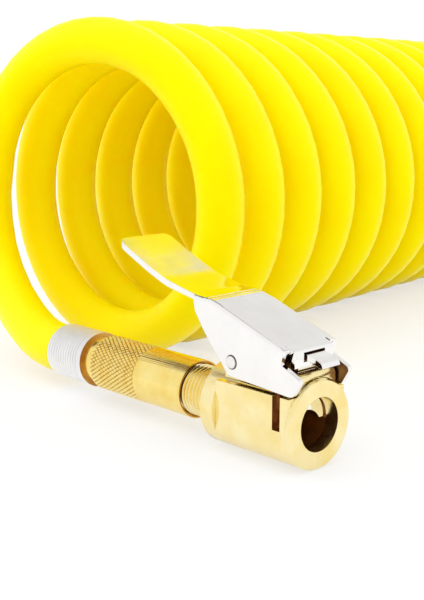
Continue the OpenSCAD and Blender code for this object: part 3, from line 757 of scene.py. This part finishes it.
pin_steel = metal("pin_steel", (0.93, 0.92, 0.9), (0.82, 0.81, 0.79), (0.12, 0.24), 0.003, 6, pin_place,
                  pin_rim_painted_shade)
add_piece("riveted_pin", bm, pin_steel, "hose", "spring_steel", "lever_pin")

leg_wire = 0.7
leg_coil_r = 1.95
leg_lift = 0.9
leg_turns = 3
leg_angle = 38
leg_sweep = 360 * leg_turns + 90 + leg_angle
leg_half = leg_lift * leg_sweep / 360 / 2
leg_step_angle = 15
leg_steps = round(leg_sweep / leg_step_angle)
lower_leg = Vector((-4, 0, -1.25))
upper_leg_len = 8.4
upper_leg = upper_leg_len * Vector((-math.sin(math.radians(leg_angle)), 0, math.cos(math.radians(leg_angle))))
bm = bmesh.new()
first_ring = bmesh.ops.create_circle(bm, cap_ends=False, segments=12, radius=leg_wire * MM / 2,
                                     matrix=Matrix.Translation((0, leg_half * MM, -leg_coil_r * MM))
                                     @ Matrix.Rotation(math.pi / 2, 4, "Y"))
first_edges = bm.edges[:]
wound = bmesh.ops.spin(bm, geom=first_ring["verts"] + first_edges, cent=(0, 0, 0), axis=(0, -1, 0),
                       dvec=(0, -2 * leg_half * MM / leg_steps, 0), angle=math.radians(leg_sweep),
                       steps=leg_steps, use_merge=False)
last_edges = [part for part in wound["geom_last"] if isinstance(part, bmesh.types.BMEdge)]
for edges, leg in ((first_edges, lower_leg), (last_edges, upper_leg)):
    drawn = bmesh.ops.extrude_edge_only(bm, edges=edges)["geom"]
    leg_end = [part for part in drawn if isinstance(part, bmesh.types.BMVert)]
    bmesh.ops.translate(bm, verts=leg_end, vec=leg * MM)
bmesh.ops.holes_fill(bm, edges=[e for e in bm.edges if e.is_boundary])
bmesh.ops.recalc_face_normals(bm, faces=bm.faces)
bmesh.ops.translate(bm, verts=bm.verts, vec=hinge)
torsion_spring = add_piece("torsion_spring", bm, spring_wire, None, "spring_steel", "lever_spring")
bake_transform(torsion_spring)

# ---------------------------------------------------------- floor and light
# A sheet of white paper in a white room with one dark strip high up, lit evenly from all
# sides and by one large soft lamp, which the metal doesn't mirror.
floor_half = 3
floor_mesh = bpy.data.meshes.new("floor")
bm = bmesh.new()
bmesh.ops.create_grid(bm, x_segments=1, y_segments=1, size=floor_half)
bmesh.ops.translate(bm, verts=bm.verts, vec=(0, 0, floor_z))
bm.to_mesh(floor_mesh)
bm.free()
floor = bpy.data.objects.new("floor", floor_mesh)
bpy.context.scene.collection.objects.link(floor)


def seen_straight(nodes, links, rays):
    """1 for the rays named, such as those from the camera, and 0 for all others."""
    path = nodes.new("ShaderNodeLightPath")
    total = path.outputs[rays[0]]
    for ray in rays[1:]:
        join = nodes.new("ShaderNodeMath")
        join.operation = "MAXIMUM"
        links.new(total, join.inputs[0])
        links.new(path.outputs[ray], join.inputs[1])
        total = join.outputs[0]
    return total


paper = bpy.data.materials.new("paper")
paper.use_nodes = True
nodes, links = paper.node_tree.nodes, paper.node_tree.links
sheet = nodes["Principled BSDF"]
sheet.inputs["Base Color"].default_value = (0.93, 0.93, 0.93, 1)
sheet.inputs["Roughness"].default_value = 0.9
sheet.inputs["Specular IOR Level"].default_value = 0.1
glow = nodes.new("ShaderNodeEmission")
where = nodes.new("ShaderNodeTexCoord")
off_centre = nodes.new("ShaderNodeVectorMath")
off_centre.operation = "DISTANCE"
off_centre.inputs[1].default_value = (-0.07, 0.05, floor_z)
fade = nodes.new("ShaderNodeMapRange")
fade.interpolation_type = "SMOOTHSTEP"
fade.inputs["From Min"].default_value = 0.16
fade.inputs["From Max"].default_value = 0.6
fade.inputs["To Min"].default_value = 0.62
share = nodes.new("ShaderNodeMath")
share.operation = "MULTIPLY"
blend = nodes.new("ShaderNodeMixShader")
links.new(where.outputs["Object"], off_centre.inputs[0])
links.new(off_centre.outputs["Value"], fade.inputs["Value"])
links.new(fade.outputs["Result"], share.inputs[0])
paper_rays = ("Is Camera Ray", "Is Glossy Ray", "Is Transmission Ray")
links.new(seen_straight(nodes, links, paper_rays), share.inputs[1])
links.new(share.outputs[0], blend.inputs["Fac"])
links.new(sheet.outputs[0], blend.inputs[1])
links.new(glow.outputs[0], blend.inputs[2])
links.new(blend.outputs[0], nodes["Material Output"].inputs["Surface"])
floor_mesh.materials.append(paper)

room_level = 1.12
dark_strip = (0.1, 0.045, 0.02)
room_bands = [(0.3, (1, 1, 1)), (0.62, (0.84, 0.835, 0.82)), (0.74, (0.84, 0.82, 0.8)), (0.79, dark_strip),
              (0.89, dark_strip), (0.95, (0.84, 0.83, 0.82))]
softbox_edge = (-0.32, -0.12)
world = bpy.data.worlds.new("room")
world.use_nodes = True
bpy.context.scene.world = world
nodes, links = world.node_tree.nodes, world.node_tree.links
where = nodes.new("ShaderNodeTexCoord")
height = nodes.new("ShaderNodeVectorMath")
height.operation = "DOT_PRODUCT"
height.inputs[1].default_value = (-0.25, -0.1, 1)
ceiling = nodes.new("ShaderNodeValToRGB")
stops = ceiling.color_ramp.elements
for _ in range(len(room_bands) - len(stops)):
    stops.new(0.5)
for stop, (place, shade) in zip(stops, room_bands):
    stop.position = place
    stop.color = (*shade, 1)
sides = nodes.new("ShaderNodeSeparateXYZ")
softbox = nodes.new("ShaderNodeMapRange")
softbox.interpolation_type = "SMOOTHSTEP"
softbox.inputs["From Min"].default_value = softbox_edge[0]
softbox.inputs["From Max"].default_value = softbox_edge[1]
mirrored, in_metal, straight = (nodes.new("ShaderNodeMix") for _ in range(3))
mirrored.data_type = in_metal.data_type = straight.data_type = "RGBA"
mirrored.inputs["A"].default_value = (1, 1, 1, 1)
in_metal.inputs["A"].default_value = (room_level, room_level, room_level, 1)
straight.inputs["B"].default_value = (1, 1, 1, 1)
links.new(where.outputs["Generated"], height.inputs[0])
links.new(where.outputs["Generated"], sides.inputs["Vector"])
links.new(height.outputs["Value"], ceiling.inputs["Fac"])
links.new(sides.outputs["Y"], softbox.inputs["Value"])
links.new(softbox.outputs["Result"], mirrored.inputs["Factor"])
links.new(ceiling.outputs["Color"], mirrored.inputs["B"])
links.new(seen_straight(nodes, links, ("Is Glossy Ray",)), in_metal.inputs["Factor"])
links.new(mirrored.outputs["Result"], in_metal.inputs["B"])
links.new(seen_straight(nodes, links, ("Is Camera Ray", "Is Transmission Ray")), straight.inputs["Factor"])
links.new(in_metal.outputs["Result"], straight.inputs["A"])
links.new(straight.outputs["Result"], nodes["Background"].inputs["Color"])

lamp_place = Vector((-0.25, -0.55, 0.95))
lamp_aim = Vector((-0.05, 0.03, 0))
lamp_data = bpy.data.lights.new("softbox", "AREA")
lamp_data.energy = 2.5
lamp_data.shape = "SQUARE"
lamp_data.size = 0.9
lamp = bpy.data.objects.new("softbox", lamp_data)
bpy.context.scene.collection.objects.link(lamp)
lamp.location = lamp_place
lamp.rotation_euler = (lamp_aim - lamp_place).to_track_quat("-Z", "Y").to_euler()
lamp.visible_glossy = False
bpy.context.scene.view_settings.view_transform = "Standard"
